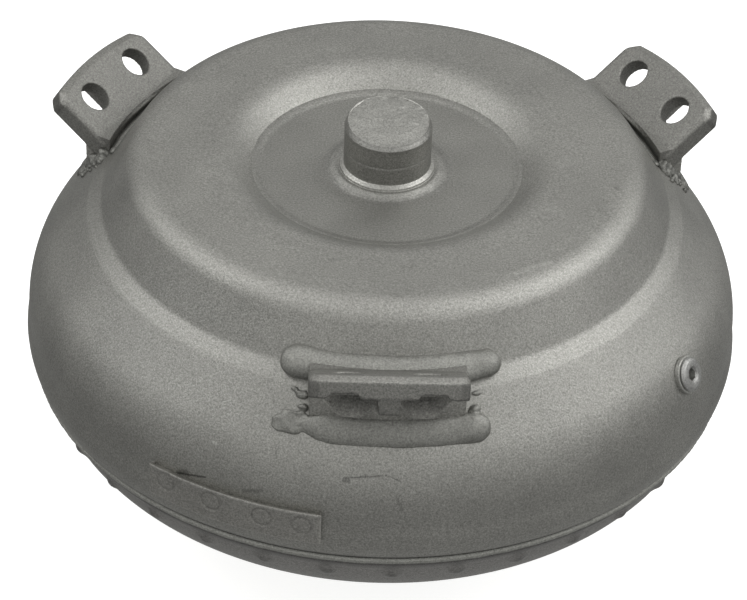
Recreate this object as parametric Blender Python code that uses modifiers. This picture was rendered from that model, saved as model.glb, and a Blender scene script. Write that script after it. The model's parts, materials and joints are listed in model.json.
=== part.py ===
"""Torque converter for a passenger-car automatic gearbox, as an assembly of separate pieces.

It stands on the end of its pump hub, with +Z along its axis towards the engine. One mounting lug
points along -Y. Sections are written in millimetres as (radius, height), with heights measured
from the plane of the cover's lip; at() turns them into metres above the hub's end face.
"""
import math

import bpy
import bmesh
from mathutils import Matrix, Vector

# ---------------------------------------------------------------- driving sizes (millimetres)
MM = 0.001
HUB_LENGTH = 70.0          # lip plane above the hub's end face
GAP = 0.3                  # clearance left between touching pieces

COVER_WALL = 4.5
COVER_RADIUS = 128.6       # the straight part of the cover's side
LIP_RADIUS = 129.4         # widest point, just above the lip
PLATEAU_Z = 80.7
DISH_Z = 74.0
DISH_RADIUS = 46.0
PILOT_RADIUS = 15.6
PILOT_TOP = 95.7

PUMP_WALL = 3.5
PUMP_TORUS = (90.0, 2.0, 34.5)       # centre radius, centre height, outer section radius
HUB_RADIUS = 24.0
HUB_BORE = 20.2
HUB_FLANGE = 43.6
HUB_FLANGE_Z = -19.0

TURBINE_WALL = 2.0
TURBINE_TORUS = (88.0, 7.0, 33.0)
CORE_RADIUS = 12.0                   # outer section radius of both guide rings
IMPELLER_BLADES = 19
TURBINE_BLADES = 17
STATOR_BLADES = 11
BLADE_THICKNESS = 1.4
BLADE_CLEARANCE = 2.2

LUG_COUNT = 3
LUG_TILT = math.radians(34.0)        # the outer edge is raised
LUG_RADIUS = 114.9                   # hole line, measured to the middle of the lug
LUG_Z = 70.8
LUG_HALF_WIDTH = 26.9
LUG_THICKNESS = 7.5
LUG_HOLE_RADIUS = 5.6
LUG_HOLE_PITCH = 27.3
LUG_OUTER = 12.4                     # hole line to the outer edge, along the slope
LUG_CORNER = 3.5
LUG_POCKET_RADIUS = 12.5             # relief round each hole on the underside
LUG_POCKET_DEPTH = 1.1
LUG_INNER = -14.5
LEG_RADIUS = 114.3                   # outer face of the lug's leg
LEG_INSET = 0.4                      # narrower than the plate on each side
RIB_HALF_WIDTH = 4.0
RIB_DEPTH = 4.8
UPPER_WELD = (101.8, 63.6, 33.0, 4.6)  # radius, height, half length, half width
LOWER_WELD = (115.8, 45.6, 34.0, 4.6)

SIDE_ARC = (90.6, 17.7, 38.0)        # centre radius, centre height and radius of the cover's rounded side
PLUG_ANGLE = math.radians(-31.8)
PLUG_RISE = math.radians(26.2)
WEIGHT_START = math.radians(-128.0)
WEIGHT_END = math.radians(-99.4)
WEIGHT_HEIGHTS = (7.4, 20.2)
WEIGHT_THICKNESS = 1.5

SPRING_COUNT = 6
SPRING_PITCH = 76.0
SPRING_Z = 56.0
SPRING_RADIUS = 7.4
SPRING_WIRE = 1.6
SPRING_LENGTH = 40.0
WINDOW_LENGTH = 41.6
WINDOW_WIDTH = 16.0

SPACER_COUNT = 3
STRAP_COUNT = 3
SPLINE_TEETH = 12

ROLLER_COUNT = 8
ROLLER_RADIUS = 2.9
ROLLER_PITCH = 29.75

THRUST_BEARINGS = {                  # inner radius, outer radius, lowest, highest
    "rear": (27.0, 40.0, -18.7, -9.6),
    "middle": (25.0, 39.0, 17.6, 21.6),
    "front": (15.0, 23.0, 49.8, 53.6),
}
DAMPER_PLATES = {"front": (59.0, 61.0), "rear": (51.0, 53.0)}
LINING_RADII = (63.5, 82.0)
LININGS = {"front": (74.5, 75.4), "rear": (71.9, 72.8)}
RETAINER_RADII = (27.2, 40.1)
RETAINERS = {"front": (15.3, 17.0), "rear": (-9.0, -7.3)}
BLADE_REACH = 132.0                  # degrees of the torus section that a blade covers
BLADE_START = 6.0                    # from the plane where pump and turbine meet

STEPS_LARGE = 36
STEPS_SMALL = 24
STEPS_FINE = 16

STEEL = (0.23, 0.23, 0.215)
DARK_STEEL = (0.15, 0.15, 0.145)
BRIGHT_STEEL = (0.42, 0.42, 0.41)
ALUMINIUM = (0.56, 0.56, 0.55)
PAPER = (0.16, 0.11, 0.06)


# ---------------------------------------------------------------- helpers
def clear_scene():
    for obj in list(bpy.data.objects):
        bpy.data.objects.remove(obj, do_unlink=True)


def collection(name):
    group = bpy.data.collections.new(name)
    bpy.context.scene.collection.children.link(group)
    return group


def material(name, colour, roughness=0.5, metallic=0.85):
    found = bpy.data.materials.get(name)
    if found:
        return found
    made = bpy.data.materials.new(name)
    made.use_nodes = True
    shader = made.node_tree.nodes["Principled BSDF"]
    shader.inputs["Base Color"].default_value = (*colour, 1.0)
    shader.inputs["Roughness"].default_value = roughness
    shader.inputs["Metallic"].default_value = metallic
    return made


def at(radius, height):
    """A section point in metres, above the hub's end face."""
    return Vector((radius * MM, (height + HUB_LENGTH) * MM))


def arc(centre, radius, start, end, steps):
    """Section points on an arc; angles in degrees, 0 outwards and 90 up."""
    points = []
    for i in range(steps + 1):
        angle = math.radians(start + (end - start) * i / steps)
        points.append((centre[0] + radius * math.cos(angle), centre[1] + radius * math.sin(angle)))
    return points


def rounded(corners, step=20.0):
    """Section points along (radius, height, fillet) corners, each fillet turned into an arc."""
    points = []
    for i, (r, z, fillet) in enumerate(corners):
        here = Vector((r, z))
        if fillet == 0:
            points.append((r, z))
            continue
        back = (Vector(corners[i - 1][:2]) - here).normalized()
        ahead = (Vector(corners[i + 1][:2]) - here).normalized()
        half = back.angle(ahead) / 2
        centre = here + (back + ahead).normalized() * (fillet / math.sin(half))
        first = here + back * (fillet / math.tan(half)) - centre
        last = here + ahead * (fillet / math.tan(half)) - centre
        start = math.degrees(math.atan2(first.y, first.x))
        turn = math.degrees(math.atan2(last.y, last.x)) - start
        turn = (turn + 180) % 360 - 180
        steps = max(1, round(abs(turn) / step))
        points += arc(centre, fillet, start, start + turn, steps)
    return points


def show(obj, finish, group):
    obj.data.materials.append(finish)
    group.objects.link(obj)
    return obj


def smooth(obj, angle=35.0):
    obj.data.shade_smooth()
    obj.data.set_sharp_from_angle(angle=math.radians(angle))


def turned(name, points, finish, steps=STEPS_LARGE, closed=True, wall=0.0):
    """Turns a section about Z. A closed section is a ring; an open one starts on the axis or has a wall."""
    mesh = bpy.data.meshes.new(name)
    vertices = [(at(r, z).x, 0.0, at(r, z).y) for r, z in points]
    edges = [(i, i + 1) for i in range(len(points) - 1)]
    if closed:
        edges.append((len(points) - 1, 0))
    mesh.from_pydata(vertices, edges, [])
    obj = bpy.data.objects.new(name, mesh)
    show(obj, finish, PARTS)
    screw = obj.modifiers.new("turn", "SCREW")
    screw.steps = steps
    screw.render_steps = steps
    screw.use_merge_vertices = True
    screw.merge_threshold = 0.00001
    screw.use_smooth_shade = True
    if wall:
        skin = obj.modifiers.new("wall", "SOLIDIFY")
        skin.thickness = wall * MM
        skin.offset = -1
        skin.use_even_offset = True
    return obj


def box_ring(name, inner, outer, low, high, finish, steps=STEPS_SMALL):
    """A plain washer."""
    return turned(name, [(outer, high), (outer, low), (inner, low), (inner, high)], finish, steps)


def outline(name, points, thickness, group=None):
    """A flat plate in the XY plane, centred on Z, from a 2D curve in millimetres; returned as a mesh object."""
    curve = bpy.data.curves.new(name, "CURVE")
    curve.dimensions = "2D"
    curve.fill_mode = "BOTH"
    curve.extrude = thickness * MM / 2
    spline = curve.splines.new("POLY")
    spline.points.add(len(points) - 1)
    for point, (x, y) in zip(spline.points, points):
        point.co = (x * MM, y * MM, 0.0, 1.0)
    spline.use_cyclic_u = True
    return meshed(name, curve, group)


def meshed(name, curve, group=None):
    """The curve as a mesh object with its caps welded on."""
    guide = bpy.data.objects.new(name + "_guide", curve)
    bpy.context.scene.collection.objects.link(guide)
    evaluated = guide.evaluated_get(bpy.context.evaluated_depsgraph_get())
    mesh = bpy.data.meshes.new_from_object(evaluated)
    bpy.data.objects.remove(guide, do_unlink=True)
    shape = bmesh.new()
    shape.from_mesh(mesh)
    bmesh.ops.remove_doubles(shape, verts=shape.verts, dist=0.000001)
    bmesh.ops.recalc_face_normals(shape, faces=shape.faces)
    shape.to_mesh(mesh)
    shape.free()
    obj = bpy.data.objects.new(name, mesh)
    (group or CUTTERS).objects.link(obj)
    return obj


def block(name, low, high):
    """A box between two corners, in millimetres, in the cutters' collection."""
    shape = bmesh.new()
    bmesh.ops.create_cube(shape, size=1.0)
    low = Vector(low) * MM
    high = Vector(high) * MM
    for vertex in shape.verts:
        part = vertex.co + Vector((0.5, 0.5, 0.5))
        vertex.co = Vector(low[i] + (high[i] - low[i]) * part[i] for i in range(3))
    mesh = bpy.data.meshes.new(name)
    shape.to_mesh(mesh)
    shape.free()
    obj = bpy.data.objects.new(name, mesh)
    CUTTERS.objects.link(obj)
    return obj


def rod(name, radius, low, high, sides=12, group=None):
    """A cylinder along Z, in millimetres."""
    shape = bmesh.new()
    bmesh.ops.create_cone(shape, cap_ends=True, segments=sides, radius1=radius * MM, radius2=radius * MM,
                          depth=(high - low) * MM)
    bmesh.ops.translate(shape, verts=shape.verts, vec=(0, 0, (high + low) * MM / 2))
    mesh = bpy.data.meshes.new(name)
    shape.to_mesh(mesh)
    shape.free()
    obj = bpy.data.objects.new(name, mesh)
    (group or CUTTERS).objects.link(obj)
    return obj


def hide(cutter):
    cutter.hide_render = True
    cutter.display_type = "WIRE"
    return cutter


def boolean(obj, cutter, operation="DIFFERENCE"):
    hide(cutter)
    step = obj.modifiers.new(operation.lower(), "BOOLEAN")
    step.operation = operation
    step.solver = "EXACT"
    step.object = cutter
    return step


def around(angle, radius=0.0, height=0.0):
    """A frame turned about Z, moved out along its own X, with its height above the lip plane."""
    place = Matrix.Translation((0, 0, (height + HUB_LENGTH) * MM))
    return place @ Matrix.Rotation(angle, 4, "Z") @ Matrix.Translation((radius * MM, 0, 0))


def many(name, source, count, place):
    """One mesh object made of copies of a mesh, placed by place(i)."""
    shape = bmesh.new()
    for i in range(count):
        copy = source.data.copy()
        copy.transform(place(i))
        shape.from_mesh(copy)
        bpy.data.meshes.remove(copy)
    mesh = bpy.data.meshes.new(name)
    shape.to_mesh(mesh)
    shape.free()
    bpy.data.objects.remove(source, do_unlink=True)
    obj = bpy.data.objects.new(name, mesh)
    CUTTERS.objects.link(obj)
    return obj


def lug_angle(index):
    return -math.pi / 2 + index * 2 * math.pi / LUG_COUNT


# ---------------------------------------------------------------- housing
# corners of the cover's outer surface: dish, plateau, steep wall, sloping shoulder and side
COVER_CORNERS = [
    (0, DISH_Z, 0),
    (DISH_RADIUS, DISH_Z, 5),
    (56.8, PLATEAU_Z + 0.6, 7),
    (89.8, PLATEAU_Z - 0.5, 12),
    (98.8, 63.4, 3.5),
    (104.5, 60.3, 10),
    (COVER_RADIUS, 31.5, 38),
    (COVER_RADIUS, 14.0, 0),
]


def inset(corners, wall):
    """Corners of the surface one wall inside a section that runs outwards and down."""
    moved = []
    for i, (r, z, fillet) in enumerate(corners):
        here = Vector((r, z))
        ahead = (Vector(corners[min(i + 1, len(corners) - 1)][:2]) - here).normalized()
        back = (here - Vector(corners[max(i - 1, 0)][:2])).normalized()
        ahead = ahead if ahead.length else back
        back = back if back.length else ahead
        first = Vector((-back.y, back.x))
        second = Vector((-ahead.y, ahead.x))
        inner = here - (first + second) * wall / (1 + first.dot(second))
        bends_down = back.cross(ahead) < 0
        moved.append((inner.x, inner.y, fillet and max(0.5, fillet + (-wall if bends_down else wall))))
    return moved


def cover_outline():
    return rounded(COVER_CORNERS, step=18.0) + [(LIP_RADIUS, 8.0), (LIP_RADIUS - 0.5, 4.0), (127.4, GAP)]


def front_cover():
    inside = rounded(inset(COVER_CORNERS, COVER_WALL), step=30.0) + [(LIP_RADIUS - COVER_WALL - 0.2, GAP)]
    section = cover_outline() + inside[::-1]
    return turned("front_cover", section, material("cover_steel", STEEL, 0.45), closed=False)


def crank_pilot():
    """Solid centring boss, welded into the dish."""
    section = rounded([
        (0, PILOT_TOP, 0),
        (PILOT_RADIUS - 2.4, PILOT_TOP, 0),
        (PILOT_RADIUS, PILOT_TOP - 2.6, 0),
        (PILOT_RADIUS, 77.4, 0),
        (16.7, 76.7, 0),
        (18.6, 75.4, 0),
        (21.5, DISH_Z + 0.8, 0),
        (21.5, DISH_Z + GAP, 0),
        (0, DISH_Z + GAP, 0),
    ])
    return turned("crank_pilot", section, material("pilot_steel", STEEL, 0.5), STEPS_SMALL, closed=False)


def piston_guide():
    """Hub inside the cover that the lock-up piston slides on."""
    top = DISH_Z - COVER_WALL - GAP
    section = [(23.9, top), (23.9, 53.9), (9.0, 53.9), (9.0, top)]
    return turned("piston_guide", section, material("guide_steel", BRIGHT_STEEL, 0.35), STEPS_SMALL)


def lug_plate_outline():
    """Outline of the lug's plate: arched outer edge, cut corners, hollow inner edge along the cover."""
    corner = LUG_CORNER
    outer_arch = 3.0
    inner_arch = 3.4
    points = []
    for i in range(5):
        x = (LUG_HALF_WIDTH - corner) * (1 - i / 2)
        points.append((x, LUG_OUTER - outer_arch * (x / LUG_HALF_WIDTH) ** 2))
    points.append((-LUG_HALF_WIDTH, LUG_OUTER - outer_arch - corner))
    for i in range(5):
        x = LUG_HALF_WIDTH * (i / 2 - 1)
        points.append((x, LUG_INNER - inner_arch * (x / LUG_HALF_WIDTH) ** 2))
    points.append((LUG_HALF_WIDTH, LUG_OUTER - outer_arch - corner))
    return points


def ring_sector(name, inner, outer, low, high, half_width, steps=4):
    """A curved block between two radii, cut off parallel to X at +-half_width, standing along -Y."""
    points = []
    for i in range(steps + 1):
        x = half_width * (2 * i / steps - 1)
        points.append((x, -math.sqrt(outer ** 2 - x ** 2)))
    for i in range(steps + 1):
        x = half_width * (1 - 2 * i / steps)
        points.append((x, -math.sqrt(inner ** 2 - x ** 2)))
    sector = outline(name, points, high - low)
    sector.data.transform(Matrix.Translation((0, 0, ((high + low) / 2 + HUB_LENGTH) * MM)))
    return sector


def cover_envelope():
    """The cover's outside grown by the gap, as a solid that trims what is welded onto it."""
    grown = [(r + 0.9 * GAP, z + 0.9 * GAP) for r, z in cover_outline()]
    points = [(0, DISH_Z + GAP)] + grown[1:] + [(LIP_RADIUS, -10), (0, -10)]
    envelope = turned("cover_envelope", points, material("cutter", STEEL), STEPS_LARGE, closed=False)
    PARTS.objects.unlink(envelope)
    CUTTERS.objects.link(envelope)
    return hide(envelope)


def lug_slope():
    """The plate's own frame: Y outwards along its slope, its top face at Z = 0, the lug along -Y."""
    place = Matrix.Translation((0, -LUG_RADIUS * MM, (LUG_Z + HUB_LENGTH) * MM))
    return place @ Matrix.Rotation(math.pi, 4, "Z") @ Matrix.Rotation(LUG_TILT, 4, "X")


def lug_holes(name, radius, low, high):
    """Both bolt holes, or the pockets under them, square to the plate."""
    pitch = LUG_HOLE_PITCH * MM
    return many(name, rod(name, radius, low, high), 2,
                lambda i: lug_slope() @ Matrix.Translation(((i - 0.5) * pitch, 0, 0)))


def mounting_lug(index):
    """Bracket with two bolt holes: a raised plate, a curved leg down to the cover and a rib between."""
    name = f"mounting_lug_{index + 1}"
    plate = outline(name, lug_plate_outline(), LUG_THICKNESS, PARTS)
    plate.data.materials.append(material("lug_steel", STEEL, 0.5))
    plate.data.transform(lug_slope() @ Matrix.Translation((0, 0, -LUG_THICKNESS * MM / 2)))
    edge = plate.modifiers.new("edge", "BEVEL")
    edge.width = 1.2 * MM
    edge.segments = 1
    edge.limit_method = "ANGLE"
    edge.angle_limit = math.radians(60)
    leg = ring_sector(name + "_leg", 104.0, LEG_RADIUS, 43.0, 64.0, LUG_HALF_WIDTH - LEG_INSET)
    rib = block(name + "_rib", (-RIB_HALF_WIDTH, -8.0, -LUG_THICKNESS - RIB_DEPTH),
                (RIB_HALF_WIDTH, LUG_OUTER - 0.7, 1.0 - LUG_THICKNESS))
    rib.data.transform(lug_slope())
    pockets = lug_holes(name + "_pockets", LUG_POCKET_RADIUS, -20, LUG_POCKET_DEPTH - LUG_THICKNESS)
    below = ring_sector(name + "_below", 96.0, 135.0, 36.0, 60.0, LUG_HALF_WIDTH + 8)
    boolean(pockets, below)
    holes = lug_holes(name + "_holes", LUG_HOLE_RADIUS, -24, 20)
    boolean(plate, leg, "UNION")
    boolean(plate, pockets)
    boolean(plate, rib, "UNION")
    boolean(plate, holes)
    boolean(plate, COVER_ENVELOPE)
    turn = Matrix.Rotation(lug_angle(index) + math.pi / 2, 4, "Z")
    for part in (plate, leg, rib, holes, pockets, below):
        part.matrix_world = turn
    return plate


def lug_slab(name, growth, inner_growth, low, high):
    """The plate's outline grown outwards and towards the axis, between two heights over its top face."""
    wider = 1 + growth / LUG_HALF_WIDTH
    grown = [(x * wider, y + (growth if y > 0 else -inner_growth)) for x, y in lug_plate_outline()]
    slab = outline(name, grown, high - low)
    slab.data.transform(lug_slope() @ Matrix.Translation((0, 0, (high + low) / 2 * MM)))
    return slab


def lug_keep_off():
    """The space that a lug's weld beads are cut back from: the lug grown by the gap, and the room over its face."""
    plate = lug_slab("lug_keep_off", GAP, 4.0, -LUG_THICKNESS - GAP, GAP)
    boolean(plate, lug_slab("lug_over", 2 * GAP, GAP, -GAP, LUG_THICKNESS), "UNION")
    leg = ring_sector("lug_leg_keep_off", 96.0, LEG_RADIUS + GAP, 40.0, 65.0, LUG_HALF_WIDTH - LEG_INSET + GAP)
    boolean(plate, leg, "UNION")
    plate.data = bpy.data.meshes.new_from_object(plate.evaluated_get(bpy.context.evaluated_depsgraph_get()))
    plate.modifiers.clear()
    return hide(plate)


def lug_weld(index, level, radius, height, half_length, half_width):
    """The weld bead along the upper or lower edge of a lug, following the cover round the axis."""
    name = f"lug_weld_{level}_{index + 1}"
    curve = bpy.data.curves.new(name, "CURVE")
    curve.dimensions = "3D"
    curve.bevel_depth = half_width * MM
    curve.bevel_resolution = 1
    curve.use_fill_caps = True
    spline = curve.splines.new("POLY")
    steps = 6
    spline.points.add(steps)
    for i, point in enumerate(spline.points):
        x = half_length * (2 * i / steps - 1)
        point.co = (x * MM, -math.sqrt(radius ** 2 - x ** 2) * MM, (height + HUB_LENGTH) * MM, 1.0)
    bead = meshed(name, curve, PARTS)
    bead.data.materials.append(material("weld_metal", STEEL, 0.4))
    keep_off = LUG_KEEP_OFF.copy()
    CUTTERS.objects.link(keep_off)
    for part in (bead, keep_off):
        part.matrix_world = Matrix.Rotation(lug_angle(index) + math.pi / 2, 4, "Z")
    boolean(bead, COVER_ENVELOPE)
    boolean(bead, keep_off)
    return bead


def plug_place():
    """On the cover's rounded side, square to its surface: Z points out of the plug's head."""
    radius = SIDE_ARC[0] + SIDE_ARC[2] * math.cos(PLUG_RISE)
    height = SIDE_ARC[1] + SIDE_ARC[2] * math.sin(PLUG_RISE)
    return around(PLUG_ANGLE, radius, height) @ Matrix.Rotation(math.pi / 2 - PLUG_RISE, 4, "Y")


def own_frame(points):
    """Section points for a piece turned about its own axis, whose heights don't count from the lip plane."""
    return [(r, z - HUB_LENGTH) for r, z in points]


def drain_plug(cover):
    """Collar screw plug with a hexagon socket and its sealing ring, and the plug's hole in the cover."""
    place = plug_place()
    finish = material("plug_steel", BRIGHT_STEEL, 0.35)
    screw = [(0, 2.7), (5.4, 2.7), (6.0, 2.1), (6.0, 1.3), (3.9, 1.3), (3.9, -7.5), (0, -7.5)]
    plug = turned("drain_plug", own_frame(screw), finish, STEPS_FINE, closed=False)
    socket = rod("plug_socket", 2.31, -0.6, 4.0, sides=6)
    boolean(plug, socket)
    ring = turned("plug_seal", own_frame([(6.8, 1.0), (6.8, 0.35), (4.3, 0.35), (4.3, 1.0)]),
                  material("seal_metal", BRIGHT_STEEL, 0.4), STEPS_FINE)
    hole = rod("plug_hole", 4.25, -12.0, 8.0)
    for part in (plug, socket, ring, hole):
        part.matrix_world = place
    boolean(cover, hole)


def balance_weight():
    """Thin strip spot-welded to the cover's side near the lip."""
    inner = LIP_RADIUS + GAP
    outer = inner + WEIGHT_THICKNESS
    steps = 6
    points = []
    for radius, order in ((outer, range(steps + 1)), (inner, range(steps, -1, -1))):
        for i in order:
            angle = WEIGHT_START + (WEIGHT_END - WEIGHT_START) * i / steps
            points.append((radius * math.cos(angle), radius * math.sin(angle)))
    low, high = WEIGHT_HEIGHTS
    strip = outline("balance_weight", points, high - low, PARTS)
    strip.data.transform(Matrix.Translation((0, 0, ((low + high) / 2 + HUB_LENGTH) * MM)))
    strip.data.materials.append(material("weight_steel", STEEL, 0.45))
    return strip


def pump_shell():
    """Shell of the impeller: spigot inside the lip, shoulder, torus and flat ring in to the hub."""
    centre = PUMP_TORUS[:2]
    spigot = LIP_RADIUS - COVER_WALL - 0.6
    hole = HUB_FLANGE + 0.7
    outside = [(spigot, 7.0), (spigot, -3.2), (126.2, -3.5), (125.8, -4.4)]
    outside += arc(centre, PUMP_TORUS[2], -25.5, -132.0, 6) + [(59.0, -23.4), (hole, -23.4)]
    inside = [(spigot - PUMP_WALL, 7.0), (spigot - PUMP_WALL, -4.0)]
    inside += arc(centre, PUMP_TORUS[2] - PUMP_WALL, -20.0, -130.0, 5)
    inside += [(60.0, PUMP_WALL - 23.4), (hole, PUMP_WALL - 23.4)]
    return turned("pump_shell", outside + inside[::-1], material("pump_steel", DARK_STEEL, 0.45))


def closure_weld():
    """The weld between the cover's lip and the pump shell."""
    section = [(126.9, -0.4), (127.3, -1.6), (126.8, -2.9), (124.65, -2.9), (124.65, -0.1)]
    return turned("closure_weld", section, material("weld_metal", STEEL, 0.4))


def pump_hub():
    """Tube that drives the gearbox oil pump through two slots, with a flange welded into the shell."""
    section = rounded([
        (HUB_FLANGE, HUB_FLANGE_Z, 0),
        (HUB_FLANGE, HUB_FLANGE_Z - 4.6, 0),
        (HUB_RADIUS, HUB_FLANGE_Z - 5.4, 3),
        (HUB_RADIUS, -HUB_LENGTH + 1.4, 0),
        (HUB_RADIUS - 1.2, -HUB_LENGTH, 0),
        (HUB_BORE, -HUB_LENGTH, 0),
        (HUB_BORE, HUB_FLANGE_Z, 0),
    ], step=45)
    hub = turned("pump_hub", section, material("hub_steel", BRIGHT_STEEL, 0.3), STEPS_SMALL)
    slots = block("hub_slots", (-40, -5, -5), (40, 5, 9.0))
    boolean(hub, slots)
    return hub


def hub_weld():
    """Fillet weld between the pump shell and the hub's flange, on the gearbox side."""
    section = [(47.0, -24.0), (43.8, -26.2), (40.6, -24.4)]
    return turned("hub_weld", section, material("weld_metal", STEEL, 0.4), STEPS_SMALL)


def blading(name, torus, wall, start, end, count):
    """Blades between a shell and its guide ring, joined to the ring; angles are those of the section."""
    core_wall = 1.8
    overlap = 0.6
    lift = 2
    centre = torus[:2]
    tip = torus[2] - wall - BLADE_CLEARANCE
    ring = arc(centre, CORE_RADIUS, start, end, 3) + arc(centre, CORE_RADIUS - core_wall, end, start, 3)
    if end < start:
        ring.reverse()
    finish = material("blade_steel", BRIGHT_STEEL, 0.45)
    guide = turned(name, ring[::-1], finish, STEPS_SMALL)
    sheet = arc(centre, tip, start + lift, end - lift, 4)
    sheet += arc(centre, CORE_RADIUS - overlap, end - lift, start + lift, 1)
    flat = outline(name + "_blade", sheet, BLADE_THICKNESS)
    stand = Matrix.Translation((0, 0, HUB_LENGTH * MM)) @ Matrix.Rotation(math.pi / 2, 4, "X")
    blades = many(name + "_blades", flat, count, lambda i: Matrix.Rotation(2 * math.pi * i / count, 4, "Z") @ stand)
    boolean(guide, blades, "UNION")
    return guide


def thrust_bearing(name, inner, outer, low, high):
    """Needle thrust bearing: a ring whose races stand out above and below its waisted cage."""
    section = [(outer, high), (outer - 1.2, (low + high) / 2), (outer, low), (inner, low), (inner, high)]
    return turned(name, section, material("bearing_steel", BRIGHT_STEEL, 0.2), STEPS_SMALL)


# ---------------------------------------------------------------- turbine
def turbine_shell():
    ring = arc(TURBINE_TORUS[:2], TURBINE_TORUS[2], 150, 2, 6)
    section = [(24.4, 24.0), (55.0, 24.0)] + ring
    finish = material("shell_steel", STEEL, 0.4)
    return turned("turbine_shell", section, finish, STEPS_SMALL, closed=False, wall=TURBINE_WALL)


def turbine_hub():
    """Splined hub that carries the turbine and the damper's hub plate."""
    section = [(24.0, 49.5), (24.0, 28.4), (41.0, 28.4), (41.0, 24.3), (24.0, 24.3), (24.0, 18.0),
               (14.6, 18.0), (14.6, 49.5)]
    hub = turned("turbine_hub", section, material("turbine_hub_steel", BRIGHT_STEEL, 0.35), STEPS_SMALL)
    boolean(hub, spline_grooves("turbine_spline", 14.2, 15.9, SPLINE_TEETH, 10.0, 60.0))
    return hub


def spline_grooves(name, inner, outer, teeth, low, high):
    """The grooves of an internal spline, as one star-shaped cutter."""
    points = []
    for i in range(teeth):
        for share, radius in ((0.0, inner), (0.3, outer), (0.6, outer), (0.9, inner)):
            angle = 2 * math.pi * (i + share) / teeth
            points.append((radius * math.cos(angle), radius * math.sin(angle)))
    star = outline(name, points, high - low)
    star.data.transform(Matrix.Translation((0, 0, ((high + low) / 2 + HUB_LENGTH) * MM)))
    return star


def windows(name, low, high):
    """The cutter for the spring windows of a damper plate."""
    half = WINDOW_LENGTH / 2
    pane = block(name, (SPRING_PITCH - WINDOW_WIDTH / 2, -half, low), (SPRING_PITCH + WINDOW_WIDTH / 2, half, high))
    return many(name, pane, SPRING_COUNT, lambda i: around(2 * math.pi * i / SPRING_COUNT))


def damper_hub_plate():
    """Output plate of the torsion damper, dished from the turbine hub out to the springs."""
    section = [(88.0, 57.3), (88.0, 54.7), (59.4, 54.7), (42.0, 28.8), (24.4, 28.8),
               (24.4, 31.4), (40.6, 31.4), (58.0, 57.3)]
    plate = turned("damper_hub_plate", section, material("damper_steel", STEEL, 0.35), STEPS_SMALL)
    boolean(plate, windows("hub_plate_windows", 50.0, 62.0))
    return plate


# ---------------------------------------------------------------- lock-up clutch and damper
def damper_plate(name, low, high):
    plate = box_ring(name, 62.5, 93.2, low, high, material("damper_steel", STEEL, 0.35))
    boolean(plate, windows(name + "_windows", low - 3, high + 3))
    return plate


def damper_spring(index):
    """Coil spring in its window, wound round a line across the plate."""
    turns = 4
    sides = 6
    curve = bpy.data.curves.new("spring_path", "CURVE")
    curve.dimensions = "3D"
    curve.bevel_depth = SPRING_WIRE * MM
    curve.bevel_resolution = 0
    curve.use_fill_caps = True
    spline = curve.splines.new("POLY")
    spline.points.add(turns * sides)
    radius = SPRING_RADIUS - SPRING_WIRE
    for i, point in enumerate(spline.points):
        angle = 2 * math.pi * i / sides
        along = (SPRING_LENGTH - 2 * SPRING_WIRE) * (i / (turns * sides) - 0.5)
        point.co = (radius * math.cos(angle) * MM, along * MM, radius * math.sin(angle) * MM, 1.0)
    spring = meshed(f"damper_spring_{index + 1}", curve, PARTS)
    spring.data.materials.append(material("spring_steel", DARK_STEEL, 0.3))
    spring.data.shade_smooth()
    spring.matrix_world = around(2 * math.pi * index / SPRING_COUNT, SPRING_PITCH, SPRING_Z)
    return spring


def damper_spacer(index):
    """Shouldered rivet that holds the two input plates apart, between two springs."""
    rivet = rod(f"damper_spacer_{index + 1}", 1.7, 53.3, 58.7, sides=12, group=PARTS)
    rivet.data.materials.append(material("rivet_steel", BRIGHT_STEEL, 0.35))
    rivet.matrix_world = around(2 * math.pi * (index * 2 + 0.5) / SPRING_COUNT, 90.6)
    return rivet


def friction_disc():
    """Steel carrier of the linings, with a drum that reaches down to the damper."""
    section = [(84.5, 74.2), (89.3, 67.6), (89.3, 62.6), (93.2, 62.6), (93.2, 61.4), (88.0, 61.4),
               (88.0, 67.2), (83.9, 73.1), (62.0, 73.1), (62.0, 74.2)]
    return turned("friction_disc", section, material("disc_steel", STEEL, 0.3), STEPS_SMALL)


def lockup_piston():
    """Pressed plate that slides on the guide and clamps the friction disc against the cover."""
    section = [(83.0, 70.4), (83.0, 67.6), (60.5, 67.6), (50.5, 62.0), (26.6, 62.0), (26.6, 56.0),
               (24.3, 56.0), (24.3, 64.6), (49.4, 64.6), (59.6, 70.4)]
    return turned("lockup_piston", section, material("piston_steel", STEEL, 0.3), STEPS_SMALL)


def strap_carrier():
    top = DISH_Z - COVER_WALL - GAP
    return box_ring("strap_carrier", 27.0, 44.0, top - 1.2, top, material("carrier_steel", STEEL, 0.4), STEPS_SMALL)


def leaf_strap(index):
    """Spring strap that holds the piston to the cover and lets it move along the axis only."""
    points = [(-17, -5), (17, -5), (17, 5), (-17, 5)]
    strap = outline(f"leaf_strap_{index + 1}", points, 0.8, PARTS)
    strap.data.materials.append(material("strap_steel", BRIGHT_STEEL, 0.3))
    strap.matrix_world = around(2 * math.pi * index / STRAP_COUNT + math.radians(30), 35.5, 67.0) @ Matrix.Rotation(
        math.pi / 2, 4, "Z")
    return strap


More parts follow.
